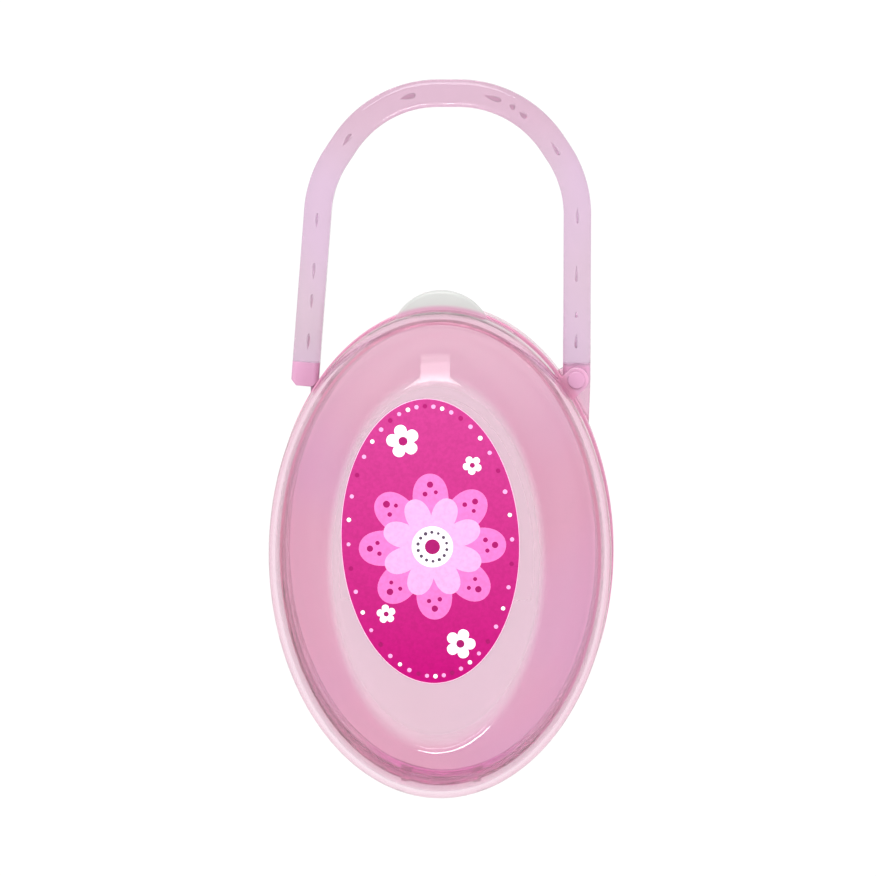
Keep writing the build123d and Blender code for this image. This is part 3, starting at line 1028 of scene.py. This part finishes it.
smallParts = {
    "handle_knuckle": ("pinkPivotEnd", endPlastic, "handle", "pink_end"),
    "handle_tip": ("pinkFreeEnd", endPlastic, "handle", "pink_end"),
    "hinge_pin": ("hingePin", naturalPlastic, "case", "clear_pin"),
    "pacifier_rack": ("dripRack", naturalPlastic, "case", "rack_plastic"),
}
bondPlanes = {  # where the end pieces are moulded onto the bar
    "handle_knuckle": (rightEnd, Vector((0, 1, 0))),
    "handle_tip": (leftEnd, legLine),
}
for node, (pieceName, plastic, body, slotName) in smallParts.items():
    piece = addObject(pieceName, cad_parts[node].data.copy())
    work = welded(piece.data)
    if node in bondPlanes:
        place, line = bondPlanes[node]
        cut = bmesh.ops.bisect_plane(
            work, geom=[*work.verts, *work.edges, *work.faces], dist=1e-7,
            plane_co=(place - line * handleForm.bondGap) * mm, plane_no=line, clear_outer=True,
        )
        openEdges = [e for e in cut["geom_cut"] if isinstance(e, bmesh.types.BMEdge)]
        bmesh.ops.holes_fill(work, edges=openEdges)
    work.to_mesh(piece.data)
    work.free()
    finishPiece(piece, pieceName, plastic, body, [node], 25)


def pivotPin():
    # heat-staked: its ends are one with the two ears, so only the head and the middle are drawn
    rim = caseForm.rearDepth
    gap = handleForm.pinGap
    shaftPlace, headPlace = [(pivotX, pivotY, r) for r in (handleForm.pinRadius, handleForm.headRadius)]
    shaft = rod("shaft", shaftPlace, "Z", rearEarTop + gap, rim - rearForm.rimBand - gap, 40)
    head = rod("head", headPlace, "Z", rim + gap, rim + handleForm.headHeight, 64, 0.25)
    pin = addObject("pin", joinMeshes("pin", [shaft, head]))
    finishPiece(pin, "pivotPin", endPlastic, "case", ["handle_pivot_pin"])


pivotPin()


# Oval label: film with a bare die-cut edge

labelForm = SimpleNamespace(
    width=35.4,
    length=57.0,
    thickness=0.2,
    shiftX=-1.1,
    shiftY=5.3,
    turn=2.2,
    edge=0.12,  # bare film that shows round the print
    filmDrop=0.075,  # film's top, under the top of the whole label, as room for the ink
    filmLift=0.005,
    softEdge=(0.03, 0.05),  # in and down
    ground=(0.02, 0.01),  # how far the ground colour goes into the film and over it
    inkLift=0.015,
)
lidTop = lidBase + caseForm.lidDepth
filmTop = lidTop + labelForm.thickness - labelForm.filmDrop


def labelPlace(x, y):
    c, s = cos(radians(labelForm.turn)), sin(radians(labelForm.turn))
    return labelForm.shiftX + x * c - y * s, labelForm.shiftY + x * s + y * c


def labelRing(inset, z):
    halfWidth, halfLength = labelForm.width / 2 - inset, labelForm.length / 2 - inset
    return [(*labelPlace(x, y), z) for x, y, z in ovalRing(halfWidth, halfLength, z, count=160)]


def labelSheet(name, rings, film, nodes):
    sheet = addObject(name, ringsToMesh(name, [labelRing(inset, z) for inset, z in rings]))
    finishPiece(sheet, name, film, "lid", nodes, 40)


softIn, softDown = labelForm.softEdge
sunk, proud = labelForm.ground
# bare film edge, lighter at the top of the label than at its foot: painted light
bareFilm = printedFilm("bareFilmEdge", "F8C6E4", "F4BBDC")
filmRings = [(0, lidTop + labelForm.filmLift), (0, filmTop - softDown), (softIn, filmTop)]
labelSheet("labelFilm", filmRings, bareFilm, ["face_label"])
groundRings = [(labelForm.edge, filmTop - sunk), (labelForm.edge, filmTop + proud)]
labelSheet("labelGround", groundRings, filmGround, [])


# Print on the label: blossoms and dots as thin layers of ink, laid out by Geometry Nodes

printForm = SimpleNamespace(
    inkThickness=0.008,
    layerStep=0.0004,  # each mark lies this much over the one before, so that none share a plane
    blossom=(0.4, -1.0),  # large blossom, from the middle of the label
    petals=8,
    outerPetal=(6.6, 14.6),  # width and length
    innerPetal=(4.6, 10.2),
    petalTaper=0.42,
    petalSpots=((12.4, 0.62, 0.0), (10.6, 0.45, 0.10), (10.9, 0.42, -0.10)),  # reach, radius, turn
    heart=4.1,
    heartMiddle=1.5,
    seeds=(14, 2.9, 0.33),  # count, reach, radius
    sprigs=(  # x, y, reach, turn
        (-4.6, 20.2, 3.3, 0.2), (5.2, -20.6, 3.0, 0.9), (8.9, 15.0, 1.9, 0.5), (-9.3, -14.2, 1.9, 0.1),
    ),
    sprigPetals=5,
    sprigShares=(0.36, 0.5, 0.27),  # half petal width and length, and heart, of a sprig's reach
    sprigTaper=0.30,
    edgeDots=44,
    edgeReach=1.5,
    edgeEvening=0.14,  # evens the spacing round the oval
    dotRadius=0.42,
    seed=5,
)
# each ink as a pair: the lighter colour at the top of the label, then the darker one at its foot, painted
# light
inks = {
    "rose": ("DB74B9", "D868AE"),
    "blush": ("EBA2CF", "E796C6"),
    "chalk": ("F5EEF3", "F1E6EE"),
    "wine": ("A01A66", "8E1058"),
    "soot": ("54465A", "4C3E50"),
}


def inkTree():
    # one mark for each point: a disc, drawn out and narrowed towards one end where it is a petal
    tree, start = startTree("inkMarks", "Marks", {
        "Places": ("Geometry", None), "Taper": ("Float", 0.0), "Root": ("Float", 0.0),
        "Size spread": ("Float", 0.0), "Ink thickness": ("Float", 0.000008), "Seed": ("Int", 5),
        "Ink": ("Material", None),
    })
    disc = geometryNode(tree, "MeshCircle", {"Vertices": 56, "Radius": 1.0}, fill_type="NGON")
    axes = separated(tree, geometryNode(tree, "InputPosition"))
    wide = product(tree, axes["X"], maths(tree, "MULTIPLY_ADD", axes["Y"], start["Taper"], 1.0))
    along = maths(tree, "ADD", axes["Y"], start["Root"])
    mark = geometryNode(tree, "SetPosition", {"Geometry": disc, "Position": combined(tree, wide, along)})
    spread = randomValue(tree, -1.0, 1.0, start["Seed"])
    grow = maths(tree, "MULTIPLY_ADD", spread, start["Size spread"], 1.0)
    scaling = {0: pointValue(tree, "markSize", "FLOAT_VECTOR"), "Scale": grow}
    placed = geometryNode(tree, "InstanceOnPoints", {
        "Points": start["Places"], "Instance": mark,
        "Rotation": combined(tree, z=pointValue(tree, "markTurn", "FLOAT")),
        "Scale": nodeValue(tree, "ShaderNodeVectorMath", scaling, operation="SCALE"),
    })
    raised = geometryNode(tree, "ExtrudeMesh", {
        "Mesh": realised(tree, placed), "Offset": combined(tree, z=1.0),
        "Offset Scale": start["Ink thickness"], "Individual": False,
    })
    return finishTree(tree, "Marks", raised, start["Ink"])


printTree = inkTree()
printLevel = [filmTop + labelForm.inkLift]  # height of the last mark laid


def inkLayer(name, ink, marks, taper=0.0, root=0.0, spread=0.0):
    # marks: x, y from the middle of the label, half width, half length and turn of each
    points, sizes, turns = [], [], []
    for x, y, halfWidth, halfLength, turn in marks:
        printLevel[0] += printForm.layerStep
        points.append(tuple(c * mm for c in (*labelPlace(x, y), printLevel[0])))
        sizes.append((halfWidth * mm, halfLength * mm, 1.0))
        turns.append(turn + radians(labelForm.turn))
    layer = addObject(name, pointMesh(name, points, {"markSize": sizes, "markTurn": turns}))
    bakeNodes(layer, printTree, {
        "Taper": taper, "Root": root, "Size spread": spread, "Ink thickness": printForm.inkThickness * mm,
        "Seed": printForm.seed, "Ink": inkFilms[ink],
    })
    recalcNormals(layer.data)
    finishPiece(layer, name, inkFilms[ink], "lid", [], None)


def wheel(x, y, count, halfWidth, halfLength, turn=0.0):
    return [(x, y, halfWidth, halfLength, turn + 2 * pi * i / count) for i in range(count)]


def dot(x, y, radius):
    return x, y, radius, radius, 0.0


def dotWheel(x, y, count, reach, radius, turn=0.0):
    spots = [turn + 2 * pi * i / count for i in range(count)]
    return [dot(x - reach * sin(a), y + reach * cos(a), radius) for a in spots]


inkFilms = {name: printedFilm("ink" + name.title(), *pair) for name, pair in inks.items()}
bloomX, bloomY = printForm.blossom
petals = printForm.petals
taper = printForm.petalTaper
outerHalf, innerHalf = [(wide / 2, long / 2) for wide, long in (printForm.outerPetal, printForm.innerPetal)]
inkLayer("printOuterPetals", "rose", wheel(bloomX, bloomY, petals, *outerHalf), taper, 1.0)
petalSpots = [m for row in printForm.petalSpots for m in dotWheel(bloomX, bloomY, petals, *row)]
inkLayer("printPetalSpots", "wine", petalSpots, spread=0.12)
inkLayer("printInnerPetals", "blush", wheel(bloomX, bloomY, petals, *innerHalf, pi / petals), taper, 1.0)
inkLayer("printHeart", "chalk", [dot(bloomX, bloomY, printForm.heart)])
inkLayer("printHeartMiddle", "wine", [dot(bloomX, bloomY, printForm.heartMiddle)])
inkLayer("printSeeds", "soot", dotWheel(bloomX, bloomY, *printForm.seeds), spread=0.15)
sprigPetals, sprigHearts = [], []
petalWide, petalLong, heartShare = printForm.sprigShares
for x, y, reach, turn in printForm.sprigs:
    sprigPetals += wheel(x, y, printForm.sprigPetals, reach * petalWide, reach * petalLong, turn)
    sprigHearts.append(dot(x, y, reach * heartShare))
inkLayer("printSprigs", "chalk", sprigPetals, printForm.sprigTaper, 1.0)
inkLayer("printSprigHearts", "wine", sprigHearts)
edgeSpots = []
halfWidth, halfLength = [size / 2 - printForm.edgeReach for size in (labelForm.width, labelForm.length)]
for i in range(printForm.edgeDots):
    a = 2 * pi * i / printForm.edgeDots
    a += printForm.edgeEvening * sin(2 * a)
    edgeSpots.append(dot(halfWidth * cos(a), halfLength * sin(a), printForm.dotRadius))
inkLayer("printEdgePale", "blush", edgeSpots[::2], spread=0.1)
inkLayer("printEdgeChalk", "chalk", edgeSpots[1::4], spread=0.1)
inkLayer("printEdgeWine", "wine", edgeSpots[3::4], spread=0.1)
print("label printed up to", round(printLevel[0], 4), "mm")


# Floor, light and camera

studio = SimpleNamespace(
    aim=(-0.73, 23.25, 24.0),
    distance=700.0,
    leanRight=3.0,
    leanUp=7.0,
    pixel=0.2035,  # mm on the rim plane for one pixel
    framePixels=876,
    sensor=36,
    seenGlow=0.97,  # of floor and surround, as the camera sees them
    throughGlow=0.99,  # as they light the plastic from behind
    aroundGlow=0.90,  # as they show in reflections and on matt faces
    floorFace=0.06,
    horizonGlow=0.85,  # share of the glow that is left at the horizon
    horizonRise=0.22,
    floorHalf=3000,
    floorDrop=0.3,
    windowReach=850,
    windowShift=-55,
    windowAim=(0, 0, 40),
    windowStrips=(  # elevation in degrees, width, height and brightness of each
        (67, 430, 30, 14.0), (62, 430, 104, 5.5), (55, 420, 104, 6.0), (48, 400, 104, 5.6),
        (41, 370, 104, 4.4), (34, 340, 104, 2.8), (27, 310, 104, 1.5),
    ),
    lowStrip=((70, -560, 760), (0, -37, 46), 500, 60, 48.0),  # place, aim, width, height and brightness
)


def stageGlow(tree):
    # a light table and surround that stay paper white in the frame but don't wash the gloss out
    ray = addNode(tree, "ShaderNodeLightPath").outputs
    around = mixed(tree, ray["Is Transmission Ray"], studio.aroundGlow, studio.throughGlow)
    return mixed(tree, ray["Is Camera Ray"], around, studio.seenGlow)


def studioFloor():
    # flat pale floor that glows like a light table
    material, tree = newMaterial("paleAcrylicTable")
    glow = addNode(tree, "ShaderNodeEmission", {"Color": hexColour("FFFFFF"), "Strength": stageGlow(tree)})
    face = addNode(tree, "ShaderNodeBsdfDiffuse", {"Color": (studio.floorFace,) * 3 + (1.0,)})
    both = addNode(tree, "ShaderNodeAddShader", {0: glow.outputs["Emission"], 1: face.outputs["BSDF"]})
    addNode(tree, "ShaderNodeOutputMaterial", {"Surface": both.outputs["Shader"]})
    half = studio.floorHalf
    corners = [(x * half, y * half, -studio.floorDrop) for x, y in ((-1, -1), (1, -1), (1, 1), (-1, 1))]
    floor = addObject("studioFloor", meshFrom("studioFloor", corners, [(0, 1, 2, 3)]))
    floor.data.materials.append(material)


def softbox(name, place, aim, wide, tall, radiance):
    # area light given by its brightness per area, so its size can change freely
    light = bpy.data.lights.new(name, "AREA")
    light.shape = "RECTANGLE"
    light.size = wide * mm
    light.size_y = tall * mm
    light.energy = radiance * pi * light.size * light.size_y
    thing = bpy.data.objects.new(name, light)
    thing.location = Vector(place) * mm
    line = (Vector(aim) - Vector(place)).normalized()
    thing.rotation_euler = line.to_track_quat("-Z", "Y").to_euler()
    bpy.context.scene.collection.objects.link(thing)


def studioCamera():
    camera = bpy.data.cameras.new("camera")
    thing = bpy.data.objects.new("camera", camera)
    back = Vector((tan(radians(studio.leanRight)), tan(radians(studio.leanUp)), 1)).normalized()
    right = Vector((0, 1, 0)).cross(back).normalized()
    up = back.cross(right)
    place = (Vector(studio.aim) + back * studio.distance) * mm
    thing.matrix_world = Matrix.Translation(place) @ Matrix((right, up, back)).transposed().to_4x4()
    camera.sensor_width = studio.sensor
    camera.lens = studio.sensor * studio.distance / (studio.framePixels * studio.pixel)
    camera.clip_start = 0.01
    camera.clip_end = 20
    bpy.context.scene.collection.objects.link(thing)
    bpy.context.scene.camera = thing


studioFloor()
for elevation, wide, tall, radiance in studio.windowStrips:
    angle = radians(elevation)
    away, rise = studio.windowReach * cos(angle), studio.windowReach * sin(angle)
    aim = studio.windowAim
    softbox("topWindow", (studio.windowShift, away, aim[2] + rise), aim, wide, tall, radiance)
softbox("lowStrip", *studio.lowStrip)
studioCamera()

scene = bpy.context.scene
scene.world = bpy.data.worlds.new("studioWorld")
scene.world.use_nodes = True
sky = scene.world.node_tree
background = sky.nodes["Background"]
background.inputs["Color"].default_value = hexColour("FFFFFF")
# the surround falls off towards the horizon, which draws the edges of clear plastic
height = separated(sky, addNode(sky, "ShaderNodeTexCoord").outputs["Generated"])["Z"]
fall = between(sky, maths(sky, "ABSOLUTE", height), 0.0, studio.horizonRise, studio.horizonGlow, 1.0)
sky.links.new(product(sky, stageGlow(sky), fall), background.inputs["Strength"])
scene.view_settings.view_transform = "Standard"
scene.cycles.use_denoising = True
scene.cycles.max_bounces = 32
scene.cycles.transmission_bounces = 32
scene.cycles.glossy_bounces = 12
scene.cycles.diffuse_bounces = 6
scene.cycles.transparent_max_bounces = 16
scene.cycles.caustics_refractive = True
scene.cycles.caustics_reflective = True

print("scene ready")
